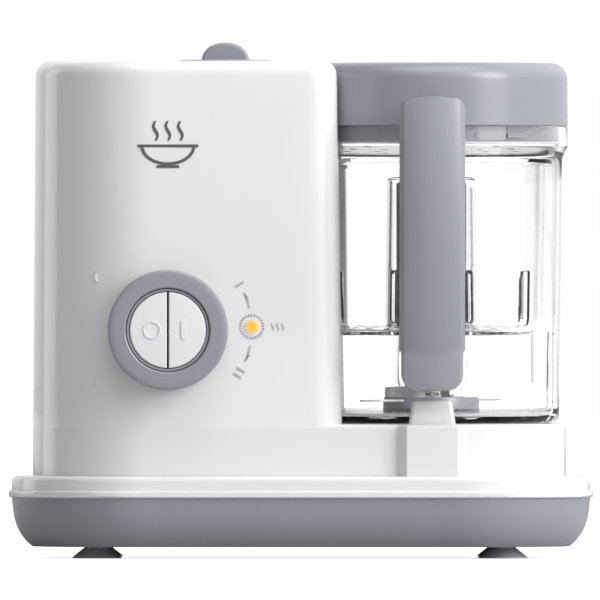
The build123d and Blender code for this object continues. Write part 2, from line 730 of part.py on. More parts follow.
with BuildPart() as steam_nozzle:
    nozzle_ring(65.4, 71.0, 6.7, 2.0)
    nozzle_ring(70.6, 72.6, 8.6, 2.0)
    nozzle_ring(72.4, 80.5, 2.5, 1.4)
    outward = Axis((*JAR, NOZZLE_Z), (OUTWARD_X, OUTWARD_Y, 0))
    soft_fillet(steam_nozzle.faces().sort_by(outward)[0].outer_wire().edges(), (0.8, 0.4))
save(steam_nozzle, "steam_nozzle")

with BuildPart() as steam_hose:
    hose_start = (HOSE_X, HOSE_Y, Z_HOSE_START)
    hose_bend = (HOSE_X, HOSE_Y, Z_HOSE_BEND)
    with BuildLine() as hose_path:
        Line(hose_start, hose_bend)
        Spline(hose_bend, (-50.0, 43.5, 220.5), (-31.0, 41.5, 219.0), nozzle_point(82.0),
               tangents=((0, 0, 1), (-OUTWARD_X, -OUTWARD_Y, 0)))
        Line(nozzle_point(82.0), nozzle_point(73.0))
    with BuildSketch(Plane(origin=hose_start, z_dir=(0, 0, 1))):
        Circle(4.2)
        Circle(2.6, mode=Mode.SUBTRACT)
    sweep(path=hose_path.wires()[0])
save(steam_hose, "steam_hose")

# ----------------------------------------------------------------------------------------------
# water cap with its coarse thread, and the seal it presses on the boiler's neck
# ----------------------------------------------------------------------------------------------
# x from the cap's axis, z
GRIP_OUTLINE = [
    (-11.4, 235.9), (-11.3, 237.0), (-9.6, 240.9, -6.6, 243.4), (0, 244.9, 6.6, 243.4),
    (9.6, 240.9, 11.3, 237.0), (11.4, 235.9),
]
GRIP_HALF_T = 3.6
THREAD_R = 13.2
Z_THREAD = 220.6

with BuildPart() as water_cap:
    tube(232.8, 236.6, 22.5, CAP)
    fillet(top_rim(water_cap), 1.6)
    tube(219.5, 233.0, 13.4, CAP, bore=11.4)
    # grip across the middle
    with BuildSketch(Plane.XZ.offset(-CAP_Y - GRIP_HALF_T)):
        with BuildLine():
            trace(GRIP_OUTLINE, at=(CAP_X, 0))
        make_face()
    extrude(amount=2 * GRIP_HALF_T)
    grip_edges = ShapeList([e for e in water_cap.edges() if e.center().Z > 238.0
                            and abs(abs(e.center().Y - CAP_Y) - GRIP_HALF_T) < 0.05])
    soft_fillet(grip_edges, (1.6, 1.0, 0.5))
# guards the helical sweep and its union: if the kernel fails on either, the cap stays plain
try:
    with BuildPart() as thread:
        with BuildLine() as coil:
            Helix(pitch=8.0, height=9.4, radius=THREAD_R, center=(CAP_X, CAP_Y, Z_THREAD))
        with BuildSketch(Plane(origin=(CAP_X + THREAD_R, CAP_Y, Z_THREAD), x_dir=(1, 0, 0),
                               z_dir=(0, -1, 0))):
            with BuildLine():
                Polyline((-0.3, -1.3), (1.65, -0.5), (1.65, 0.5), (-0.3, 1.3), close=True)
            make_face()
        sweep(path=coil.wires()[0], is_frenet=True)
    with water_cap:
        add(thread.part)
except Exception:
    pass
save(water_cap, "water_cap")

with BuildPart() as cap_seal:
    tube(231.85, 232.75, 17.3, CAP, bore=13.6)
save(cap_seal, "cap_seal")

# ----------------------------------------------------------------------------------------------
# motor: frame
# ----------------------------------------------------------------------------------------------
Z_CORE, CORE_HEIGHT = 28.5, 14.0    # laminated stack of stator and armature
Z_CORE_TOP = Z_CORE + CORE_HEIGHT
STATOR_BORE_R = 15.2
BEARING_SEAT_R, BEARING_R = 6.4, 6.38
SHAFT_R = 3.0
SHAFT_HOLE_R = 3.4                  # clearance hole in the brackets
Z_BRACKET_BOTTOM = 9.5              # underside of the lower bracket
Z_BRACKET = 54.0                    # underside of the upper bracket
Z_BRACKET_TOP = 56.0

with BuildPart() as motor_stator:
    with BuildSketch(Plane.XY.offset(Z_CORE)):
        with Locations(JAR):
            RectangleRounded(60, 60, 5)
            RectangleRounded(44, 50, 4, mode=Mode.SUBTRACT)
            # two poles with curved shoes
            with BuildSketch(mode=Mode.PRIVATE) as shoe:
                Circle(17.7)
                Circle(STATOR_BORE_R, mode=Mode.SUBTRACT)
                Rectangle(9.0, 60, mode=Mode.SUBTRACT)
            add(shoe.sketch)
            with BuildSketch(mode=Mode.PRIVATE) as necks:
                with Locations((19.2, 0), (-19.2, 0)):
                    Rectangle(6.4, 18)
                Circle(STATOR_BORE_R, mode=Mode.SUBTRACT)
            add(necks.sketch)
    extrude(amount=CORE_HEIGHT)
    drill(corners(JAR, 25.5, 27.0), 1.8, 28, 43)
save(motor_stator, "motor_stator")

COIL_T = 3.8
with BuildPart() as field_coils:
    for coil_x in (-17.9 - COIL_T, 17.9):
        with BuildSketch(Plane.YZ.offset(JAR_X + coil_x)):
            with Locations((JAR_Y, 35.5)):
                RectangleRounded(28, 24, 4)
                RectangleRounded(18.6, 14.6, 1, mode=Mode.SUBTRACT)
        extrude(amount=COIL_T)
save(field_coils, "field_coils")

with BuildPart() as motor_brackets:
    # lower bracket: a bar with a bearing seat and two legs up to the stator
    block_at(JAR, 6, 30, Z_BRACKET_BOTTOM, 12.0)
    tube(Z_BRACKET_BOTTOM, 15.0, 9.0, JAR)
    for side in (-1, 1):
        block_at((JAR_X, JAR_Y + 28 * side), 6, 2, Z_BRACKET_BOTTOM, Z_CORE)
    drill([JAR], BEARING_SEAT_R, 10.2, 16.0)
    drill([JAR], SHAFT_HOLE_R, 9.0, 16.0)
    # upper bracket: a cross with a bearing seat and four legs down to the stator
    with BuildSketch(Plane.XY.offset(Z_BRACKET)):
        with Locations(JAR):
            Rectangle(94, 10, rotation=45)
            Rectangle(94, 10, rotation=-45)
            Circle(12)
    extrude(amount=Z_BRACKET_TOP - Z_BRACKET)
    tube(Z_BRACKET, 58.0, 9.0, JAR)
    for leg, mount in zip(corners(JAR, 25, 25), MOTOR_MOUNTS):
        block_at(leg, 2.5, 2.5, Z_CORE_TOP, 54.5)
        drill([mount], 1.8, 50.0, 58.0)
    drill([JAR], BEARING_SEAT_R, 53.0, 57.2)
    drill([JAR], SHAFT_HOLE_R, 53.0, 59.0)
save(motor_brackets, "motor_brackets")

with BuildPart() as motor_bearings:
    tube(10.25, 14.8, BEARING_R, JAR, bore=SHAFT_R + 0.02)
    tube(53.6, 57.15, BEARING_R, JAR, bore=SHAFT_R + 0.02)
save(motor_bearings, "motor_bearings")

with BuildPart() as motor_mounts:
    for point in MOTOR_MOUNTS:
        tube(Z_BRACKET_TOP + 0.05, 57.95, 4.5, point, bore=1.8)
save(motor_mounts, "motor_mounts")

with BuildPart() as motor_screws:
    for point in MOTOR_MOUNTS:
        screw_z(point, Z_BRACKET - 0.05, 6.6, head_r=3.0)
save(motor_screws, "motor_screws")

with BuildPart() as brush_holders:
    for side in (-1, 1):
        block_at((JAR_X, JAR_Y + 14.9 * side), 3.4, 5.5, 12.05, 23.0)
save(brush_holders, "brush_holders")

# ----------------------------------------------------------------------------------------------
# motor: turning parts
# ----------------------------------------------------------------------------------------------
with BuildPart() as motor_shaft:
    tube(9.8, 72.0, SHAFT_R, JAR)
    fillet(motor_shaft.edges().group_by(Axis.Z)[-1], 0.5)
save(motor_shaft, "motor_shaft")

with BuildPart() as armature:
    tube(Z_CORE, Z_CORE_TOP, 14.8, JAR, bore=SHAFT_R)
    with BuildSketch(Plane.XY.offset(28.0)):
        with Locations(JAR):
            with PolarLocations(13.4, 12):
                SlotOverall(4.4, 1.8)
    extrude(amount=15, mode=Mode.SUBTRACT)
    tube(25.0, 46.8, 12.0, JAR, bore=SHAFT_R)
save(armature, "armature")

with BuildPart() as commutator:
    tube(15.6, 24.6, 9.0, JAR, bore=SHAFT_R)
    with BuildSketch(Plane.XY.offset(15.0)):
        with Locations(JAR):
            with PolarLocations(8.6, 12):
                Rectangle(1.6, 0.5)
    extrude(amount=10, mode=Mode.SUBTRACT)
save(commutator, "commutator")

VANES = 9
with BuildPart() as cooling_fan:
    tube(48.4, 49.6, 23.5, JAR, bore=SHAFT_R)
    tube(48.4, 53.0, 6.0, JAR, bore=SHAFT_R)
    for i in range(VANES):
        with BuildSketch(Plane.XY.offset(49.4)) as vane:
            with Locations(JAR):
                with PolarLocations(14.6, 1, start_angle=i * 360.0 / VANES):
                    Rectangle(17.4, 1.2, rotation=14)
        extrude(vane.sketch, amount=3.4)
save(cooling_fan, "cooling_fan")

# toothed coupling on top of the motor shaft, and its mate under the jar; each has three teeth
THIRDS = (0, 120, 240)  # degrees
TOOTH_HALF = 27.0       # half width of a tooth, degrees
COUPLING_PROFILE = [(SHAFT_R, 64.8), (10.0, 64.8), (10.0, 68.0), (5.0, 68.0), (5.0, 73.0),
                    (SHAFT_R, 73.0)]
SPINDLE_R = 4.0         # the blade's spindle
Z_SPINDLE = 76.2        # its lower end

with BuildPart() as drive_coupling:
    turned(COUPLING_PROFILE, JAR)
    for turn in THIRDS:
        sector(67.5, 75.6, 6.7, 9.9, turn - TOOTH_HALF, turn + TOOTH_HALF)
save(drive_coupling, "drive_coupling")

with BuildPart() as jar_coupling:
    tube(Z_SPINDLE, 80.0, 10.6, JAR, bore=SPINDLE_R)
    tube(73.6, 76.4, 6.4, JAR, bore=SPINDLE_R)
    for turn in THIRDS:
        sector(68.8, 76.4, 6.2, 10.2, turn + 60 - TOOTH_HALF, turn + 60 + TOOTH_HALF)
save(jar_coupling, "jar_coupling")

# ----------------------------------------------------------------------------------------------
# jar: clear, with a chimney for the blade's spindle, four ribs that carry the basket and three
# bayonet tracks inside the collar
# ----------------------------------------------------------------------------------------------
CHIMNEY_BORE_R = 12.0
Z_CHIMNEY_TOP = 168.0
Z_BASKET = 105.4        # underside of the basket's floor
HANDLE_SCREW = (JAR_X, -70.0)
TRACK_R = (60.5, 62.8)  # radii of the bayonet tracks
# first track, in degrees from +X: closed end, start of the entry window, open end
TRACK_START, ENTRY_START, TRACK_END = -69.6, -55.4, -45.8
# radius, z; a step of four numbers is an arc
JAR_PROFILE = [
    (CHIMNEY_BORE_R, 63.65), (56.0, 63.65),
    (59.3, 65.0, 60.7, 68.4),
    (62.3, 189.6),
    (63.4, 192.4, COLLAR_R, 195.4),
    (COLLAR_R, 204.3),
    (COLLAR_R - 0.2, 204.65, COLLAR_R - 0.5, 204.8),
    (61.4, 204.8), (61.4, 196.5), (60.0, 196.5), (60.0, 189.6), (58.5, 71.6),
    (57.1, 68.5, 53.8, 67.1),
    (14.4, 67.1), (14.4, Z_CHIMNEY_TOP), (CHIMNEY_BORE_R, Z_CHIMNEY_TOP),
]


def cup_block(y_front_of_axis, depth, width, z, bottom_r, mode=Mode.ADD):
    """A block that runs forward, with its two lower edges rounded."""
    with BuildSketch(Plane.XZ.offset(-JAR_Y + y_front_of_axis)) as s:
        with Locations((JAR_X, z)):
            Rectangle(width, 20.2)
        fillet(s.vertices().group_by(Axis.Y)[0], bottom_r)
    extrude(s.sketch, amount=depth, mode=mode)


# cup for the handle's lower end
with BuildPart() as handle_cup:
    cup_block(56.0, 48.8, width=31.6, z=87.3, bottom_r=9.0)
    cup_block(63.6, 39.6, width=29.6, z=89.5, bottom_r=8.0, mode=Mode.SUBTRACT)
    drill_y([(JAR_X, 140.8)], 45.6, -110.0, -97.1)
    drill([JAR], 59.4, 60, 200)
# lug inside the handle's upper arm
with BuildPart() as handle_lug:
    block(JAR_X - 7.0, JAR_X + 7.0, -66.0, -50.0, 196.6, 203.4)
    drill([JAR], 62.9, 60, 220)
# sloping side of each entry window
with BuildPart() as window_slopes:
    for turn in THIRDS:
        with BuildSketch(section_plane(JAR, turn).offset(28.0)):
            with BuildLine():
                trace([(40.0, 198.5), (44.2, 198.5), (51.4, 206.0), (40.0, 206.0)])
            make_face()
        extrude(amount=30.0)
    tube(190, 215, TRACK_R[1], JAR, bore=TRACK_R[0], mode=Mode.INTERSECT)
with BuildPart() as jar:
    turned(JAR_PROFILE, JAR)
    # ribs under the basket
    for angle in (-16.0, 16.0, 164.0, 196.0):
        with BuildSketch(Plane.XY.offset(66.5)) as rib:
            with Locations(JAR):
                with PolarLocations(54.8, 1, start_angle=angle):
                    Rectangle(9.6, 2.2)
        extrude(rib.sketch, amount=107.1 - 66.5)
    # bayonet tracks: a level slot with a rounded end, and an entry window from above
    for turn in THIRDS:
        start = TRACK_START + turn
        sector(198.5, 201.9, *TRACK_R, start, TRACK_END + turn, mode=Mode.SUBTRACT)
        end_plane = Plane(origin=(*JAR, 200.2), x_dir=(0, 0, 1),
                          z_dir=(cos(radians(start)), sin(radians(start)), 0)).offset(60.0)
        with BuildSketch(end_plane) as track_end:
            Circle(1.7)
        extrude(track_end.sketch, amount=2.8, mode=Mode.SUBTRACT)
        sector(198.6, 206.0, *TRACK_R, ENTRY_START + turn, TRACK_END + turn,
               mode=Mode.SUBTRACT)
    add(window_slopes.part, mode=Mode.SUBTRACT)
    add(handle_cup.part)
    # shank hole and head recess for the handle's screw
    drill([HANDLE_SCREW], 1.6, 70.0, 82.0)
    drill([HANDLE_SCREW], 3.3, 70.0, 78.4)
    # narrow fin under the cup
    block(JAR_X - 1.0, JAR_X + 1.0, -87.5, -76.0, 75.0, 77.9)
    add(handle_lug.part)
save(jar, "jar")

# ----------------------------------------------------------------------------------------------
# handle: a crowned grip with an arm to the collar and a foot in the jar's cup
# ----------------------------------------------------------------------------------------------
# front view, with an arched top: x from the jar's axis, z; four numbers are an arc
HANDLE_FRONT = [
    (15.5, 212.2), (15.5, 98.5), (14.6, 97.6), (14.6, 87.5),
    (12.3, 81.8, 6.7, 79.6),
    (-6.7, 79.6),
    (-12.3, 81.8, -14.6, 87.5),
    (-14.6, 97.6), (-15.5, 98.5), (-15.5, 212.2),
    (-14.1, 215.8, -10.5, 217.6),
    (0, 218.4, 10.5, 217.6),
    (14.1, 215.8, 15.5, 212.2),
]
# cross-section of the grip: x across, y to the back; four numbers are an arc
GRIP_SECTION = [
    (-13.3, -5.0),
    (0, -7.4, 13.3, -5.0),
    (15.5, -2.4), (15.5, 3.4),
    (14.2, 5.9, 11.5, 6.9),
    (0, 8.2, -11.5, 6.9),
    (-14.2, 5.9, -15.5, 3.4),
    (-15.5, -2.4),
]
# middle of the grip, from its lower end: y, z
GRIP_SPINE = [(-83.6, 76.0), (-88.4, 96.0), (-93.5, 140.0), (-92.1, 185.0), (-83.8, 222.0)]
# side view of the upper arm: y, z
UPPER_ARM = [
    (-88.0, 214.6), (-75.0, 211.5), (-64.0, 206.6), (-50.0, 204.4), (-50.0, 194.6),
    (-68.0, 193.4), (-78.0, 190.0), (-88.0, 178.0),
]
ARM_W = 25.0

with BuildPart() as handle_outline:
    with BuildSketch(Plane.XZ.offset(40)):
        with BuildLine():
            trace(HANDLE_FRONT, at=(JAR_X, 0))
        make_face()
    extrude(amount=80)
with BuildPart() as handle:
    with BuildLine() as spine:
        Spline(*[(JAR_X, y, z) for y, z in GRIP_SPINE], tangents=((0, -0.26, 1), (0, 0.34, 1)))
    spine_wire = spine.wires()[0]
    with BuildSketch(Plane(origin=spine_wire @ 0, x_dir=(1, 0, 0), z_dir=spine_wire % 0)):
        with BuildLine():
            trace(GRIP_SECTION)
        make_face()
    sweep(path=spine_wire)
    with BuildSketch(Plane.YZ.offset(JAR_X - ARM_W / 2)):
        with BuildLine():
            trace(UPPER_ARM)
        make_face()
    extrude(amount=ARM_W)
    # lower arm, inside the jar's cup
    with BuildSketch(Plane.XZ.offset(-JAR_Y + 64.2)) as lower_arm:
        with Locations((JAR_X, 90.0)):
            Rectangle(40.0, 29.4)
    extrude(lower_arm.sketch, amount=27.0)
    add(handle_outline.part, mode=Mode.INTERSECT)
    # clear of the collar, the lid and the jar's lug
    drill([JAR], COLLAR_R + 0.2, 60, 205.4)
    drill([JAR], LID_R + 1.0, 205.3, 230)
    block(JAR_X - 7.1, JAR_X + 7.1, -66.1, -50.0, 196.5, 203.5, mode=Mode.SUBTRACT)
    drill([HANDLE_SCREW], 1.3, 77.0, 90.0)
save(handle, "handle")

with BuildPart() as handle_screw:
    screw_z(HANDLE_SCREW, 78.35, 9.0, head_r=2.9, head_h=1.6, shank_r=1.25)
save(handle_screw, "handle_screw")

# ----------------------------------------------------------------------------------------------
# spindle of the blade: bushes in the chimney, shaft, hub, blade and clamp
# ----------------------------------------------------------------------------------------------
Z_SPINDLE_TOP = 177.0
HUB_R = 16.7
SLEEVE_R = HUB_R + 0.05     # bore of the collar and the clamp on the hub
BLADE_ANGLE = 40.0          # degrees from +X
# radius, z
HUB_PROFILE = [
    (HUB_R, 67.9), (HUB_R, 177.6), (15.9, 178.4), (0, 178.4), (0, Z_SPINDLE_TOP),
    (SPINDLE_R, Z_SPINDLE_TOP), (SPINDLE_R, 169.2), (7.0, 169.2), (7.0, 176.2), (14.9, 176.2),
    (14.9, 67.9),
]
BLADE_COLLAR_PROFILE = [(SLEEVE_R, 67.6), (23.0, 67.6), (23.0, 73.75), (22.4, 75.8),
                        (SLEEVE_R, 75.8)]
# one wing: x along the blade from the axis, y across; four numbers are an arc
WING_OUTLINE = [
    (17.4, -6.5), (30.0, -6.5), (41.5, -2.6, 48.0, 6.2), (40.0, 5.6, 32.0, 6.5), (17.4, 6.5),
]

with BuildPart() as shaft_bushes:
    for z0, z1 in ((82.0, 92.0), (157.0, Z_CHIMNEY_TOP)):
        tube(z0, z1, CHIMNEY_BORE_R, JAR, bore=SPINDLE_R + 0.05)
save(shaft_bushes, "shaft_bushes")

with BuildPart() as jar_shaft:
    tube(Z_SPINDLE, Z_SPINDLE_TOP, SPINDLE_R, JAR)
save(jar_shaft, "jar_shaft")

with BuildPart() as blade_hub:
    turned(HUB_PROFILE, JAR)
save(blade_hub, "blade_hub")

# opaque collar pressed on the foot of the hub; it holds the blade
with BuildPart() as blade_collar:
    turned(BLADE_COLLAR_PROFILE, JAR)
    # small teeth round the collar's lower edge
    with BuildSketch(Plane.XY.offset(67.0)):
        with Locations(JAR):
            with PolarLocations(23.2, 36):
                Rectangle(1.6, 1.6, rotation=45)
    extrude(amount=1.8, mode=Mode.SUBTRACT)
    # slot for the blade
    with BuildSketch(Plane.XY.offset(73.75)):
        with Locations(JAR):
            with PolarLocations(30.0, 2, start_angle=BLADE_ANGLE):
                Rectangle(30.6, 14.0)
    extrude(amount=1.1, mode=Mode.SUBTRACT)
save(blade_collar, "blade_collar")

with BuildPart() as blade:
    with BuildSketch(mode=Mode.PRIVATE) as wing:
        with BuildLine():
            trace(WING_OUTLINE)
        make_face()
    with BuildSketch(Plane.XY.offset(73.8)) as wings:
        for turn in (BLADE_ANGLE, BLADE_ANGLE + 180):
            with Locations(Location((*JAR, 0), (0, 0, turn))):
                add(wing.sketch)
    extrude(wings.sketch, amount=1.0)
save(blade, "blade")

with BuildPart() as blade_clamp:
    sector(75.85, 81.0, SLEEVE_R, 22.4, 78.0, 282.0)
    soft_fillet(top_rim(blade_clamp), (0.8, 0.4))
save(blade_clamp, "blade_clamp")

# ----------------------------------------------------------------------------------------------
# steaming basket with its central tube
# ----------------------------------------------------------------------------------------------
# radius, z; a step of four numbers is an arc
BASKET_PROFILE = [
    (21.9, Z_BASKET), (45.0, Z_BASKET),
    (50.6, 107.8, 53.0, 113.4),
    (54.2, 187.6), (57.8, 187.6), (57.8, 189.8), (52.0, 189.8), (51.0, 188.4), (50.2, 113.8),
    (48.6, 109.6, 44.6, 108.2),
    (22.0, 108.2), (21.0, 179.4),
    (20.3, 180.8, 18.9, 181.3),
    (0, 181.3), (0, 179.3), (18.9, 179.3), (19.9, Z_BASKET),
]
Z_SLOT = 123.3          # middle of the slots in tube and wall
# radius of the circle, number of holes
BASKET_HOLES = ((27.5, 12), (34.5, 18), (41.5, 24))

with BuildPart() as steam_basket:
    turned(BASKET_PROFILE, JAR)
    # steam slots in the tube, slits in the wall
    for angle in (31.0, 149.0, 211.0, 329.0):
        with BuildSketch(radial_plane(angle, Z_SLOT, 10)) as slot:
            SlotOverall(26.6, 4.6, rotation=90)
        extrude(slot.sketch, amount=16, mode=Mode.SUBTRACT)
        with BuildSketch(radial_plane(angle, Z_SLOT, 40)) as slit:
            SlotOverall(26.0, 2.0, rotation=90)
        extrude(slit.sketch, amount=20, mode=Mode.SUBTRACT)
    # drain holes in the floor
    with BuildSketch(Plane.XY.offset(100)):
        with Locations(JAR):
            for radius, count in BASKET_HOLES:
                with PolarLocations(radius, count):
                    Circle(1.6)
    extrude(amount=10, mode=Mode.SUBTRACT)
save(steam_basket, "steam_basket")

# ----------------------------------------------------------------------------------------------
# lid, its inner plate and its seal
# ----------------------------------------------------------------------------------------------
SKIRT_R, SKIRT_BORE_R = 61.2, 58.8
LUG_MIDDLE = (ENTRY_START + TRACK_END) / 2  # the first lug enters mid-window
LUG_HALF = 4.5                              # degrees
STEAM_WINDOW_HALF = 26.0                    # degrees
# radius, z; a step of four numbers is an arc
LID_PROFILE = [
    (SKIRT_BORE_R, 197.6), (SKIRT_R, 197.6), (SKIRT_R, 205.1), (LID_R, 205.1), (64.7, 227.0),
    (62.5, 232.6, 57.0, 234.9),
    (20.0, 235.2), (0, 235.2), (0, 232.8), (20.0, 232.8), (56.2, 232.5),
    (60.6, 230.6, 62.3, 226.6),
    (62.3, 208.4), (SKIRT_BORE_R, 206.8),
]
# radius of the circle, number of holes
PLATE_HOLES = ((12.0, 6), (26.0, 12), (40.0, 18))

with BuildPart() as lid:
    turned(LID_PROFILE, JAR)
    # bayonet lugs
    for turn in THIRDS:
        sector(199.0, 201.5, 60.4, 62.5, LUG_MIDDLE - LUG_HALF + turn,
               LUG_MIDDLE + LUG_HALF + turn)
    # window through which the steam enters
    sector(212.5, 223.5, 59.0, 66.0, NOZZLE_ANGLE - STEAM_WINDOW_HALF,
           NOZZLE_ANGLE + STEAM_WINDOW_HALF, mode=Mode.SUBTRACT)
save(lid, "lid")

with BuildPart() as lid_inner:
    tube(199.0, 201.4, SKIRT_BORE_R, JAR)
    tube(201.4, 204.0, SKIRT_BORE_R, JAR, bore=57.2)
    with BuildSketch(Plane.XY.offset(198)):
        with Locations(JAR):
            for radius, count in PLATE_HOLES:
                with PolarLocations(radius, count):
                    Circle(2.0)
    extrude(amount=5, mode=Mode.SUBTRACT)
save(lid_inner, "lid_inner")

with BuildPart() as lid_seal:
    tube(196.55, 197.5, 61.0, JAR, bore=57.0)
save(lid_seal, "lid_seal")

# ----------------------------------------------------------------------------------------------
# mains cord behind the base: grommet, cord, tie and plug
# ----------------------------------------------------------------------------------------------
CORD_Y = 96.3           # the cord is folded in this plane
CORD_R = 2.6
CORD_HOLE_R = CORD_R + 0.05
Z_CORD_LOW, Z_CORD_HIGH = 30.5, 46.0    # the two long runs
PLUG = (CORD_Y, Z_CORD_HIGH)            # plug's axis: y, z
PLUG_LEFT = -64.0

with BuildPart() as cord_grommet:
    tube_y(82.1, 91.4, 5.05, CORD, bore=CORD_HOLE_R)
    tube_y(79.4, 82.2, 6.2, CORD, bore=CORD_HOLE_R)
    tube_y(91.0, 92.2, 6.4, CORD, bore=CORD_HOLE_R)
save(cord_grommet, "cord_grommet")

with BuildPart() as power_cord:
    with BuildLine() as cord_path:
        FilletPolyline((CORD_X, 66, CORD_Z), (CORD_X, CORD_Y, CORD_Z), (-96, CORD_Y, CORD_Z),
                       (-96, CORD_Y, Z_CORD_LOW), (70, CORD_Y, Z_CORD_LOW),
                       (70, CORD_Y, Z_CORD_HIGH), (-30, CORD_Y, Z_CORD_HIGH), radius=3.9)
    with BuildSketch(Plane(origin=(CORD_X, 66, CORD_Z), z_dir=(0, 1, 0))):
        Circle(CORD_R)
    sweep(path=cord_path.wires()[0])
save(power_cord, "power_cord")

with BuildPart() as power_plug:
    # body, which narrows towards the cord
    with BuildSketch(Plane.YZ.offset(PLUG_LEFT)):
        with Locations(PLUG):
            RectangleRounded(10.0, 22.0, 4.5)
    with BuildSketch(Plane.YZ.offset(-36.0)):
        with Locations(PLUG):
            RectangleRounded(8.6, 11.0, 4.0)
    loft()
    # cord sleeve
    with BuildSketch(Plane.YZ.offset(-36.5)):
        with Locations(PLUG):
            Circle(3.9)
    extrude(amount=8.5)
    # two pins
    with BuildSketch(Plane.YZ.offset(PLUG_LEFT)):
        with Locations((CORD_Y, Z_CORD_HIGH - 6.2), (CORD_Y, Z_CORD_HIGH + 6.2)):
            Circle(2.0)
    extrude(amount=-19.0)
    # hole for the cord
    with BuildSketch(Plane.YZ.offset(-40)):
        with Locations(PLUG):
            Circle(CORD_HOLE_R)
    extrude(amount=20, mode=Mode.SUBTRACT)
save(power_plug, "power_plug")

with BuildPart() as cord_tie:
    with BuildSketch(Plane.YZ.offset(10.0)):
        with Locations((CORD_Y, (Z_CORD_LOW + Z_CORD_HIGH) / 2)):
            RectangleRounded(7.4, 22.9, 3.6)
            RectangleRounded(5.4, 20.9, 2.69, mode=Mode.SUBTRACT)
    extrude(amount=6.0)
save(cord_tie, "cord_tie")

# ----------------------------------------------------------------------------------------------
# seal round the motor's spindle, and the wires from the circuit board
# ----------------------------------------------------------------------------------------------
# radius, z
SPINDLE_SEAL_PROFILE = [(3.1, 60.2), (7.0, 60.2), (7.0, 60.75), (8.55, 60.75), (8.55, 63.5),
                        (3.4, 63.5), (3.1, 63.0)]
with BuildPart() as spindle_seal:
    turned(SPINDLE_SEAL_PROFILE, JAR)
save(spindle_seal, "spindle_seal")

WIRE_R = 1.1
WIRE_Y = -57.6          # behind the circuit board
Z_WIRE_END = 80.0       # at the board
# corners of each wire's path, and its direction at the first of them
CORD_WIRE = [(CORD_X, 65.8, CORD_Z), (CORD_X, 48.0, CORD_Z), (-48.0, 30.0, CORD_Z),
             (-48.0, WIRE_Y, CORD_Z), (-48.0, WIRE_Y, Z_WIRE_END)]
MOTOR_WIRE = [(-28.0, WIRE_Y, Z_WIRE_END), (-28.0, WIRE_Y, 17.0), (48.0, WIRE_Y, 17.0),
              (48.0, -9.0, 17.0), (58.4, -9.0, 17.0)]
WIRES = ((CORD_WIRE, (0, -1, 0)), (MOTOR_WIRE, (0, 0, -1)))

with BuildPart() as wiring:
    for path, direction in WIRES:
        with BuildLine() as wire:
            FilletPolyline(*path, radius=5.0)
        with BuildSketch(Plane(origin=path[0], z_dir=direction)) as wire_section:
            Circle(WIRE_R)
        sweep(wire_section.sketch, path=wire.wires()[0])
save(wiring, "wiring")
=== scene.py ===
# A household appliance with a tower on its left (-X) side. The CAD pieces get procedural
# finishes, and the tower's front gets raised printed marks and a glowing lamp.
# +X is right, -Y is the front, +Z is up, and the floor lies just below z = 0.
import bpy
import json
import math
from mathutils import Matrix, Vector


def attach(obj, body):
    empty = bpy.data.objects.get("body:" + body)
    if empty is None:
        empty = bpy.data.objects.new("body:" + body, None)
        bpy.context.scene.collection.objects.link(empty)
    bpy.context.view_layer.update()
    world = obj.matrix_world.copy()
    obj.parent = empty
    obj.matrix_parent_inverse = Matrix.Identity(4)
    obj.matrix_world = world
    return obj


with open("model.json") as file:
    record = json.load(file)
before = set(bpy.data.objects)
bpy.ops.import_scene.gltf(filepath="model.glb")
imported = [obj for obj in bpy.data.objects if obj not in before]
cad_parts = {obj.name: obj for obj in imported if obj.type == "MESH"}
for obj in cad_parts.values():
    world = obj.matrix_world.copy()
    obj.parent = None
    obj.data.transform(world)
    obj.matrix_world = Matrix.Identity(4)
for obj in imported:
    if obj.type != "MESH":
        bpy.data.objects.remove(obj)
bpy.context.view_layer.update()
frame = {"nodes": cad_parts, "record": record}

scene = bpy.context.scene
MM = 0.001


# ---------------------------------------------------------------- node helpers
def add(tree, kind, inputs=None, **settings):
    """Add a node. Each entry in inputs is either a socket to link from or a plain value."""
    made = tree.nodes.new(kind)
    for key, value in settings.items():
        setattr(made, key, value)
    for key, value in (inputs or {}).items():
        if isinstance(value, bpy.types.NodeSocket):
            tree.links.new(value, made.inputs[key])
        else:
            made.inputs[key].default_value = value
    return made


def remap(tree, value, source=(0.0, 1.0), to=(0.0, 1.0), smooth=False):
    """Map a value from the source range to another, in a straight line or a smooth step."""
    made = add(tree, "ShaderNodeMapRange", {
        "Value": value,
        "From Min": source[0], "From Max": source[1],
        "To Min": to[0], "To Max": to[1],
    }, interpolation_type="SMOOTHSTEP" if smooth else "LINEAR")
    return made.outputs[0]


def calculate(tree, operation, *values):
    inputs = dict(enumerate(values))
    return add(tree, "ShaderNodeMath", inputs, operation=operation).outputs[0]


def scale_vector(tree, vector, factor):
    inputs = {0: vector, "Scale": factor}
    return add(tree, "ShaderNodeVectorMath", inputs, operation="SCALE").outputs[0]


def mix_shaders(tree, factor, first, second):
    return add(tree, "ShaderNodeMixShader", {0: factor, 1: first, 2: second}).outputs[0]


def colour_ramp(tree, factor, start, end):
    made = add(tree, "ShaderNodeValToRGB", {0: factor})
    made.color_ramp.elements[0].color = (*start, 1)
    made.color_ramp.elements[1].color = (*end, 1)
    return made


def new_material(name):
    material = bpy.data.materials.new(name)
    material.use_nodes = True
    material.node_tree.nodes.clear()
    return material, material.node_tree


# ---------------------------------------------------------------- smooth shading of the CAD pieces
WELD_DISTANCE = 2e-6
SHARP_ANGLE = math.radians(28)


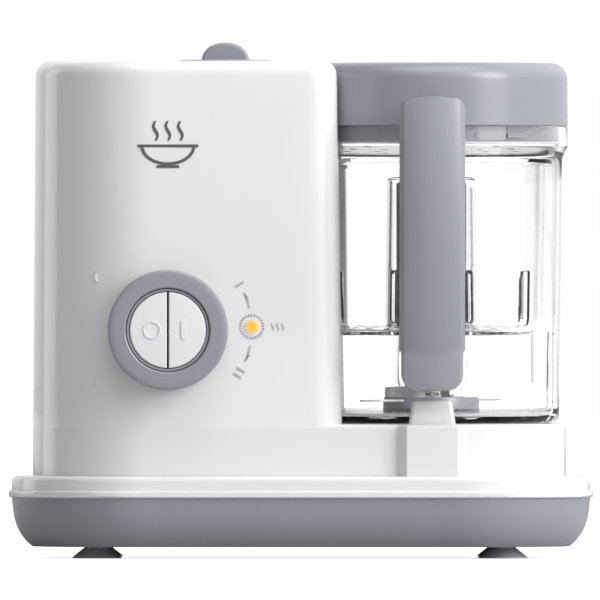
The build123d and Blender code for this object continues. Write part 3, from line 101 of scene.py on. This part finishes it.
def smooth_by_angle():
    """Weld the mesh and shade it smooth, except across edges sharper than SHARP_ANGLE."""
    tree = bpy.data.node_groups.new("smooth_by_angle", "GeometryNodeTree")
    for direction in ("INPUT", "OUTPUT"):
        tree.interface.new_socket("Geometry", in_out=direction, socket_type="NodeSocketGeometry")
    source = add(tree, "NodeGroupInput")
    weld = add(tree, "GeometryNodeMergeByDistance",
               {"Geometry": source.outputs[0], "Distance": WELD_DISTANCE})
    faces = add(tree, "GeometryNodeSetShadeSmooth", {"Geometry": weld.outputs[0]}, domain="FACE")
    angle = add(tree, "GeometryNodeInputMeshEdgeAngle")
    is_sharp = add(tree, "FunctionNodeCompare", {0: angle.outputs[0], 1: SHARP_ANGLE},
                   data_type="FLOAT", operation="GREATER_THAN")
    edges = add(tree, "GeometryNodeSetShadeSmooth", {
        "Geometry": faces.outputs[0],
        "Selection": is_sharp.outputs[0],
        "Shade Smooth": False,
    }, domain="EDGE")
    add(tree, "NodeGroupOutput", {0: edges.outputs[0]})
    return tree


# ---------------------------------------------------------------- materials
DRIFT_SCALE = 22.0             # noise scale of the slow drift in tone
EDGE_DOTS = (0.995, 0.80)      # bevelled normal . true normal, where wear starts and is full
EDGE_ROUGHENING = 0.12         # roughness added per unit of edge wear
MIN_ROUGHNESS = 0.01
BUMP_DISTANCE = 0.0002
SUBSURFACE_SCALE = 0.002
PASSING_TINT = 0.965           # share of the base colour kept by light passing straight through


def surface(name, *, base, rough, wear, metallic=0.0, coat=0.0, coat_rough=0.06, grain=900.0,
            stretch=(1, 1, 1), bump=0.02, vary=0.03, rough_vary=0.06, wear_amount=0.5,
            edge_mm=0.5, transmission=0.0, ior=1.49, specular=0.5, sss=0.0, emission=None,
            strength=0.0, graze=0.0, graze_from=0.75):
    """A finish with fine grain in the bump, drifting tone, varied roughness and worn edges.
    vary and rough_vary are how far tone and roughness stray. wear is the colour of the edges,
    and edge_mm their radius. The last two arguments paint shade into the tone: how far it is
    darkened where the surface turns away from the eye, and the facing where that starts."""
    material, tree = new_material(name)
    place = add(tree, "ShaderNodeTexCoord").outputs["Object"]
    stretched = add(tree, "ShaderNodeMapping", {"Vector": place, "Scale": stretch})
    fine = add(tree, "ShaderNodeTexNoise",
               {"Vector": stretched.outputs[0], "Scale": grain, "Detail": 3.0}).outputs["Fac"]
    wide = add(tree, "ShaderNodeTexNoise",
               {"Vector": place, "Scale": DRIFT_SCALE, "Detail": 2.0}).outputs["Fac"]
    tone = scale_vector(tree, base, remap(tree, wide, to=(1.0 - vary, 1.0 + vary)))

    # an edge is where the bevelled normal leaves the true one
    bevel = add(tree, "ShaderNodeBevel", {"Radius": edge_mm * MM}, samples=3).outputs[0]
    geometry = add(tree, "ShaderNodeNewGeometry")
    agreement = add(tree, "ShaderNodeVectorMath", {0: bevel, 1: geometry.outputs["Normal"]},
                    operation="DOT_PRODUCT")
    edge = remap(tree, agreement.outputs["Value"], source=EDGE_DOTS, to=(0.0, wear_amount))
    worn = add(tree, "ShaderNodeMix", {"Factor": edge, "A": tone, "B": (*wear, 1)},
               data_type="RGBA").outputs["Result"]

    # painted shade: the base colour is darkened where the surface turns away from the eye
    away = add(tree, "ShaderNodeLayerWeight", {"Blend": 0.5}).outputs["Facing"]
    turn = remap(tree, away, source=(graze_from, 1.0), to=(1.0, 1.0 - graze), smooth=True)

    # roughness follows the fine grain and rises at the edges
    grain_rough = remap(tree, fine,
                        to=(max(MIN_ROUGHNESS, rough - rough_vary), rough + rough_vary))
    bumped = add(tree, "ShaderNodeBump", {
        "Strength": bump, "Distance": BUMP_DISTANCE, "Height": fine, "Normal": bevel,
    })
    values = {
        "Base Color": scale_vector(tree, worn, turn),
        "Roughness": calculate(tree, "MULTIPLY_ADD", edge, EDGE_ROUGHENING, grain_rough),
        "Normal": bumped.outputs[0],
        "Metallic": metallic,
        "IOR": ior,
        "Specular IOR Level": specular,
        "Coat Weight": coat,
        "Coat Roughness": coat_rough,
        "Transmission Weight": transmission,
    }
    if sss:
        values.update({"Subsurface Weight": sss, "Subsurface Scale": SUBSURFACE_SCALE})
    if emission:
        values.update({"Emission Color": (*emission, 1), "Emission Strength": strength})
    shader = add(tree, "ShaderNodeBsdfPrincipled", values).outputs[0]
    if transmission:
        # shadow and diffuse rays pass straight through, so the inside stays lit
        ray = add(tree, "ShaderNodeLightPath").outputs
        passing = calculate(tree, "MAXIMUM", ray["Is Shadow Ray"], ray["Is Diffuse Ray"])
        tint = (*[PASSING_TINT * channel for channel in base], 1)
        clear = add(tree, "ShaderNodeBsdfTransparent", {"Color": tint})
        shader = mix_shaders(tree, passing, shader, clear.outputs[0])
    add(tree, "ShaderNodeOutputMaterial", {"Surface": shader})
    return material


def printed(name, base, wear):
    return surface(name, base=base, rough=0.45, bump=0.02, vary=0.05, wear=wear, edge_mm=0.05)


smooth_group = smooth_by_angle()

# one finish for each material slot
FINISHES = {
    "white_plastic": surface(
        "gloss_white_plastic", base=(0.80, 0.80, 0.795), rough=0.18, coat=0.25, bump=0.005,
        vary=0.008, rough_vary=0.03, wear=(0.86, 0.86, 0.85), wear_amount=0.35, grain=1400,
        graze=0.62, graze_from=0.72),
    "grey_plastic": surface(
        "satin_grey_plastic", base=(0.285, 0.290, 0.322), rough=0.29, coat=0.10,
        coat_rough=0.16, specular=0.6, bump=0.010, vary=0.02, rough_vary=0.05,
        wear=(0.44, 0.445, 0.48), grain=2200, graze=0.35),
    "clear_plastic": surface(
        "clear_plastic", base=(0.998, 0.999, 1.0), rough=0.015, transmission=1.0, ior=1.22,
        coat=0.12, coat_rough=0.02, bump=0.004, vary=0.004, rough_vary=0.01,
        wear=(0.97, 0.98, 0.99), wear_amount=0.2, edge_mm=0.25, graze=0.85, graze_from=0.66),
    "frosted_plastic": surface(
        "clouded_plastic", base=(0.993, 0.995, 0.998), rough=0.03, transmission=1.0, ior=1.22,
        coat=0.10, bump=0.01, vary=0.005, rough_vary=0.02, wear=(0.95, 0.95, 0.96),
        wear_amount=0.3, edge_mm=0.3, graze=0.72, graze_from=0.68),
    "black_plastic": surface(
        "black_plastic", base=(0.025, 0.025, 0.028), rough=0.42, bump=0.05, vary=0.08,
        wear=(0.09, 0.09, 0.09)),
    "silicone": surface(
        "silicone", base=(0.70, 0.70, 0.70), rough=0.48, bump=0.03, vary=0.02,
        wear=(0.8, 0.8, 0.8), sss=0.1),
    "dark_rubber": surface(
        "dark_rubber", base=(0.03, 0.03, 0.033), rough=0.65, bump=0.08, vary=0.08,
        wear=(0.08, 0.08, 0.08)),
    "foot_rubber": surface(
        "foot_rubber", base=(0.66, 0.665, 0.69), rough=0.22, bump=0.03, wear=(0.5, 0.5, 0.53),
        coat=0.15),
    "steel": surface(
        "brushed_steel", base=(0.62, 0.62, 0.64), rough=0.24, metallic=1.0, bump=0.05,
        vary=0.04, rough_vary=0.08, wear=(0.80, 0.80, 0.81), stretch=(1, 1, 14), grain=500),
    "bronze": surface(
        "sintered_bronze", base=(0.42, 0.27, 0.12), rough=0.40, metallic=1.0, bump=0.12,
        vary=0.10, wear=(0.65, 0.45, 0.22), grain=3000),
    "laminations": surface(
        "varnished_laminations", base=(0.10, 0.10, 0.11), rough=0.38, metallic=0.8, bump=0.35,
        vary=0.10, wear=(0.35, 0.35, 0.36), stretch=(0.1, 0.1, 3.0)),
    "copper": surface(
        "enamelled_copper", base=(0.55, 0.20, 0.07), rough=0.28, metallic=0.9, bump=0.40,
        vary=0.08, wear=(0.8, 0.4, 0.2), stretch=(0.2, 0.2, 2.0), grain=1500),
    "aluminium_plate": surface(
        "cast_aluminium", base=(0.66, 0.67, 0.69), rough=0.33, metallic=1.0, bump=0.10,
        vary=0.05, wear=(0.85, 0.85, 0.86)),
    "circuit_green": surface(
        "circuit_board", base=(0.02, 0.16, 0.06), rough=0.30, bump=0.10, vary=0.20,
        wear=(0.35, 0.32, 0.18), coat=0.3, grain=600),
    "relay_blue": surface(
        "relay_blue", base=(0.04, 0.10, 0.32), rough=0.35, bump=0.03, vary=0.05,
        wear=(0.2, 0.3, 0.5)),
    "amber": surface(
        "amber_lens", base=(0.92, 0.80, 0.66), rough=0.12, bump=0.01,
        emission=(1.0, 0.72, 0.42), strength=0.30, wear=(0.95, 0.88, 0.78)),
    "white_cable": surface(
        "white_cable", base=(0.74, 0.74, 0.73), rough=0.42, bump=0.04, vary=0.02,
        wear=(0.8, 0.8, 0.79)),
    "red_sleeve": surface(
        "wire_sleeve", base=(0.45, 0.03, 0.02), rough=0.40, bump=0.03, vary=0.06,
        wear=(0.7, 0.15, 0.1)),
}

slot_of = {part["node"]: part["material_slot"] for part in frame["record"]["subparts"]}
for node_name, piece in frame["nodes"].items():
    piece.data.materials.clear()
    piece.data.materials.append(FINISHES[slot_of.get(node_name, "black_plastic")])
    piece.modifiers.new("smooth", "NODES").node_group = smooth_group


# ---------------------------------------------------------------- flat shapes, (x, z) in mm
def polar(x, z, radius, degrees):
    angle = math.radians(degrees)
    return x + radius * math.cos(angle), z + radius * math.sin(angle)


def bar(x, z, length, width, degrees):
    """A rectangle centred on (x, z) and turned by an angle."""
    cosine, sine = math.cos(math.radians(degrees)), math.sin(math.radians(degrees))
    u, v = length / 2, width / 2
    corners = ((-u, -v), (u, -v), (u, v), (-u, v))
    return [(x + a * cosine - b * sine, z + a * sine + b * cosine) for a, b in corners]


def strip(points, widths):
    """Quads along a line of points, with the line's own width at each point."""
    sides = []
    for i, (x, z) in enumerate(points):
        before, after = points[max(i - 1, 0)], points[min(i + 1, len(points) - 1)]
        dx, dz = after[0] - before[0], after[1] - before[1]
        length = math.hypot(dx, dz)
        side_x, side_z = -dz / length * widths[i] / 2, dx / length * widths[i] / 2
        sides.append(((x + side_x, z + side_z), (x - side_x, z - side_z)))
    return [[a, b, d, c] for (a, b), (c, d) in zip(sides, sides[1:])]


def even_strip(points, width):
    return strip(points, [width] * len(points))


def wave(x, bottom, top, swing, width, steps=18):
    """One upright sine wave, widest at its middle."""
    points = [(x + swing * math.sin(2 * math.pi * i / steps), bottom + (top - bottom) * i / steps)
              for i in range(steps + 1)]
    widths = [width * (0.55 + 0.45 * math.sin(math.pi * i / steps)) for i in range(steps + 1)]
    return strip(points, widths)


# ---------------------------------------------------------------- marks on the tower's front
# The front is flat to the right of the corner's axis and round to its left. The axis leans.
TOWER_BOTTOM, TOWER_HEIGHT = 39.0, 196.5
CORNER_RADIUS = 55.0
CORNER_X, CORNER_Y = -72.3, -25.5        # the axis at the tower's bottom
CORNER_LEAN_X, CORNER_LEAN_Y = 1.3, 1.0  # how far it moves over the tower's height


def front_y(x, z):
    """Where the tower's front surface is, in millimetres."""
    rise = (z - TOWER_BOTTOM) / TOWER_HEIGHT
    from_axis = x - (CORNER_X + CORNER_LEAN_X * rise)
    axis_y = CORNER_Y + CORNER_LEAN_Y * rise
    if from_axis < 0:
        return axis_y - math.sqrt(CORNER_RADIUS ** 2 - from_axis ** 2)
    return axis_y - CORNER_RADIUS


def mesh_object(name, verts, faces, material):
    mesh = bpy.data.meshes.new(name)
    mesh.from_pydata(verts, [], faces)
    mesh.update()
    mesh.materials.append(material)
    made = bpy.data.objects.new(name, mesh)
    scene.collection.objects.link(made)
    return made


def raised_print(name, polygons, material, lift=0.16, thick=0.10):
    """Make each polygon a thin slab, lifted just off the tower's front."""
    verts, faces = [], []
    for polygon in polygons:
        turn = sum(a[0] * b[1] - b[0] * a[1] for a, b in zip(polygon, polygon[1:] + polygon[:1]))
        if turn <= 0:
            polygon = polygon[::-1]
        count, first = len(polygon), len(verts)
        for offset in (lift + thick, lift):
            verts += [(x * MM, (front_y(x, z) - offset) * MM, z * MM) for x, z in polygon]
        faces.append([first + i for i in range(count)])
        faces.append([first + count + i for i in reversed(range(count))])
        for i in range(count):
            j = (i + 1) % count
            faces.append([first + i, first + count + i, first + count + j, first + j])
    return mesh_object(name, verts, faces, material)


LAMP_X, LAMP_Z = -23.3, 109.7

print_grey = printed("printed_grey", base=(0.46, 0.46, 0.465), wear=(0.5, 0.5, 0.5))
print_dark = printed("printed_dark", base=(0.105, 0.105, 0.11), wear=(0.16, 0.16, 0.16))
print_ticks = printed("printed_ticks", base=(0.30, 0.30, 0.30), wear=(0.3, 0.3, 0.3))

# one dash above the lamp and a pair below it: x, z, degrees
DASHES = ((-29.0, 129.7, 33.0), (-28.5475, 89.2525, -31.0), (-30.0675, 86.4975, -31.0))
DASH_LENGTH, DASH_WIDTH = 4.4, 1.05
# curved arrows above and below the lamp: points along the shaft, the last being the tip,
# then the two back corners of the barb
ARROWS = (
    (((-24.4, 118.5), (-25.2, 121.8), (-26.1, 124.0), (-27.1, 125.9)),
     ((-24.5, 123.1), (-25.6, 122.5))),
    (((-24.0, 100.7), (-24.7, 97.6), (-25.6, 95.0), (-26.6, 93.1)),
     ((-24.0, 96.1), (-25.1, 96.7))),
)
ARROW_WIDTHS = (0.80, 0.85, 0.85, 0.40)


def speed_polygons():
    polygons = [bar(x, z, DASH_LENGTH, DASH_WIDTH, degrees) for x, z, degrees in DASHES]
    for shaft, barb in ARROWS:
        polygons += strip(shaft, ARROW_WIDTHS)
        polygons.append([shaft[-1], *barb])
    return polygons


# short spokes in a ring round the lamp
TICK_COUNT = 25
TICK_RING_RADIUS = 5.45
TICK_LENGTH, TICK_WIDTH = 1.05, 0.55


def tick_polygons():
    angles = [90 + 360 / TICK_COUNT * i for i in range(TICK_COUNT)]
    return [bar(*polar(LAMP_X, LAMP_Z, TICK_RING_RADIUS, degrees), TICK_LENGTH, TICK_WIDTH, degrees)
            for degrees in angles]


# three small waves to the right of the lamp
STEAM_X, STEAM_PITCH = -11.0, 2.4


def steam_polygons():
    return [quad for k in (-1, 0, 1)
            for quad in wave(STEAM_X + STEAM_PITCH * k, bottom=107.9, top=111.5,
                             swing=0.42, width=0.62)]


# a plain bowl with steam rising from it, drawn round the origin, then enlarged and placed
BOWL_X, BOWL_Z = -62.9, 195.9
BOWL_ENLARGE = 1.28
RIM_Z, RIM_HALF = -0.6, 11.2
BOWL_HALF_WIDTH, BOWL_DEPTH = 9.6, 6.6
BASE_Z, BASE_HALF = -8.2, 4.2
BOWL_STEAM_PITCH = 4.6


def bowl_polygons():
    arc = [(BOWL_HALF_WIDTH * math.cos(math.radians(degrees)),
            RIM_Z + BOWL_DEPTH * math.sin(math.radians(degrees)))
           for degrees in range(180, 361, 10)]
    polygons = even_strip(arc, 1.1)
    polygons += even_strip([(-RIM_HALF, RIM_Z), (RIM_HALF, RIM_Z)], 1.1)
    polygons += even_strip([(-BASE_HALF, BASE_Z), (BASE_HALF, BASE_Z)], 1.0)
    for k in (-1, 0, 1):
        polygons += wave(BOWL_STEAM_PITCH * k, bottom=1.4, top=8.6, swing=0.75, width=1.15)
    return [[(BOWL_X + x * BOWL_ENLARGE, BOWL_Z + z * BOWL_ENLARGE) for x, z in polygon]
            for polygon in polygons]


marks = [
    raised_print("speed_marks", speed_polygons(), print_grey),
    raised_print("lamp_ticks", tick_polygons(), print_ticks),
    raised_print("steam_mark", steam_polygons(), print_grey),
    raised_print("bowl_mark", bowl_polygons(), print_dark),
]
for mark in marks:
    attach(mark, "base")

# ---------------------------------------------------------------- soft glow over the lamp
GLOW_RADIUS = 4.4
GLOW_FADE = (3.9, 1.6)   # radii where the glow has faded out and where it is full


def glow_material():
    material, tree = new_material("lamp_glow")
    place = add(tree, "ShaderNodeTexCoord").outputs["Object"]
    offset = add(tree, "ShaderNodeVectorMath", {0: place, 1: (LAMP_X * MM, 0, LAMP_Z * MM)},
                 operation="SUBTRACT")
    flat = add(tree, "ShaderNodeVectorMath", {0: offset.outputs[0], 1: (1, 0, 1)},
               operation="MULTIPLY")
    radius = add(tree, "ShaderNodeVectorMath", {0: flat.outputs[0]},
                 operation="LENGTH").outputs["Value"]
    ramp = colour_ramp(tree, remap(tree, radius, source=(0.0, GLOW_RADIUS * MM)),
                       start=(1.0, 0.60, 0.055), end=(1.0, 0.80, 0.62))
    ramp.color_ramp.elements.new(0.45).color = (1.0, 0.58, 0.10, 1)
    fade = remap(tree, radius, source=[r * MM for r in GLOW_FADE], smooth=True)
    grain = add(tree, "ShaderNodeTexNoise", {"Vector": place, "Scale": 900}).outputs["Fac"]
    opacity = calculate(tree, "MULTIPLY", fade, remap(tree, grain, to=(0.92, 1.0)))
    light = add(tree, "ShaderNodeEmission", {"Color": ramp.outputs["Color"], "Strength": 1.0})
    clear = add(tree, "ShaderNodeBsdfTransparent")
    shader = mix_shaders(tree, opacity, clear.outputs[0], light.outputs[0])
    add(tree, "ShaderNodeOutputMaterial", {"Surface": shader})
    return material


glow_disc = [polar(LAMP_X, LAMP_Z, GLOW_RADIUS, degrees) for degrees in range(0, 360, 12)]
glow = raised_print("lamp_glow", [glow_disc], glow_material(), lift=0.95, thick=0.05)
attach(glow, "base")

# ---------------------------------------------------------------- floor
FLOOR_HALF = 14.0
FLOOR_Z = -0.0002


def floor_material():
    """Bright to the camera and through clear plastic, duller to every other ray."""
    material, tree = new_material("pale_floor")
    noise = add(tree, "ShaderNodeTexNoise", {"Scale": 6.0}).outputs["Fac"]
    ramp = colour_ramp(tree, noise, start=(0.80, 0.80, 0.80), end=(0.83, 0.83, 0.83))
    pale = add(tree, "ShaderNodeBsdfDiffuse", {"Color": ramp.outputs["Color"]})
    lit = add(tree, "ShaderNodeEmission", {"Strength": 0.84})
    bright = add(tree, "ShaderNodeAddShader", {0: pale.outputs[0], 1: lit.outputs[0]})
    dull = add(tree, "ShaderNodeBsdfDiffuse", {"Color": (0.50, 0.50, 0.51, 1)})
    ray = add(tree, "ShaderNodeLightPath").outputs
    seen = calculate(tree, "MAXIMUM", ray["Is Camera Ray"], ray["Is Transmission Ray"])
    shader = mix_shaders(tree, seen, dull.outputs[0], bright.outputs[0])
    add(tree, "ShaderNodeOutputMaterial", {"Surface": shader})
    return material


floor_corners = [(x * FLOOR_HALF, y * FLOOR_HALF, FLOOR_Z)
                 for x, y in ((-1, -1), (1, -1), (1, 1), (-1, 1))]
floor = mesh_object("floor", floor_corners, [[0, 1, 2, 3]], floor_material())


# ---------------------------------------------------------------- world
def background(tree, colour, strength):
    inputs = {"Color": (*colour, 1), "Strength": strength}
    return add(tree, "ShaderNodeBackground", inputs).outputs[0]


def build_world():
    """White to the camera, a shaded room to the other rays, another room through plastic."""
    world = bpy.data.worlds.new("studio")
    scene.world = world
    world.use_nodes = True
    tree = world.node_tree
    tree.nodes.clear()
    generated = add(tree, "ShaderNodeTexCoord").outputs["Generated"]
    x, y, z = add(tree, "ShaderNodeSeparateXYZ", {0: generated}).outputs

    # the room is bright to the right and the back, and dark to the front left
    side = remap(tree, x, source=(-0.70, 0.50), to=(0.05, 1.35), smooth=True)
    rear = remap(tree, y, source=(0.35, 0.8), to=(0.0, 1.4))
    room = background(tree, (0.80, 0.805, 0.82), calculate(tree, "MAXIMUM", side, rear))

    # through clear plastic it is white ahead and dark to the sides, above and towards the
    # front, which draws dark edge lines
    sideways = calculate(tree, "ABSOLUTE", x)
    narrow = remap(tree, sideways, source=(0.36, 0.74), to=(1.0, 0.10), smooth=True)
    low = remap(tree, z, source=(0.18, 0.5), to=(1.0, 0.12), smooth=True)
    ahead = remap(tree, y, source=(-0.25, 0.35), to=(0.18, 1.0), smooth=True)
    middle = calculate(tree, "MULTIPLY", narrow, low)
    onward = calculate(tree, "MULTIPLY", middle, ahead)
    through = background(tree, (1, 1, 1), calculate(tree, "MULTIPLY", onward, 1.16))

    seen = background(tree, (1, 1, 1), 1.0)
    ray = add(tree, "ShaderNodeLightPath").outputs
    unseen = mix_shaders(tree, ray["Is Transmission Ray"], room, through)
    shader = mix_shaders(tree, ray["Is Camera Ray"], unseen, seen)
    add(tree, "ShaderNodeOutputWorld", {"Surface": shader})


build_world()


# ---------------------------------------------------------------- lights
def softbox(name, at, aim, width, height, power):
    data = bpy.data.lights.new(name, "AREA")
    data.shape = "RECTANGLE"
    data.size, data.size_y = width, height
    data.energy = power
    light = bpy.data.objects.new(name, data)
    light.location = at
    light.rotation_euler = (Vector(aim) - Vector(at)).to_track_quat("-Z", "Y").to_euler()
    scene.collection.objects.link(light)


softbox("key_right", at=(1.5, -1.1, 0.95), aim=(0.0, 0.0, 0.12), width=0.9, height=1.3, power=24.5)
softbox("top", at=(0.1, -0.5, 1.7), aim=(0.0, 0.0, 0.1), width=1.3, height=1.3, power=11.0)
softbox("rim_left", at=(-1.2, 0.55, 0.35), aim=(-0.1, 0.0, 0.12), width=0.5, height=1.0, power=2.6)

# ---------------------------------------------------------------- camera
LENS, SENSOR_WIDTH = 1650, 36           # a very long lens, so the view is nearly parallel
VIEW_CENTRE = (-0.475, -60.0, 122.3125)  # mm
VIEW_HALF_WIDTH = 142.5                 # mm, before the enlargement
VIEW_ENLARGE = 1.0034                   # brings the camera slightly closer

camera_data = bpy.data.cameras.new("camera")
camera_data.lens = LENS
camera_data.sensor_width = SENSOR_WIDTH
camera_data.clip_end = 60
camera = bpy.data.objects.new("camera", camera_data)
distance = VIEW_HALF_WIDTH * MM * LENS / (SENSOR_WIDTH / 2) / VIEW_ENLARGE
camera.location = Vector(VIEW_CENTRE) * MM + Vector((0, -distance, 0))
camera.rotation_euler = (math.radians(90), 0, 0)
scene.collection.objects.link(camera)
scene.camera = camera

scene.view_settings.view_transform = "Standard"
scene.view_settings.look = "None"
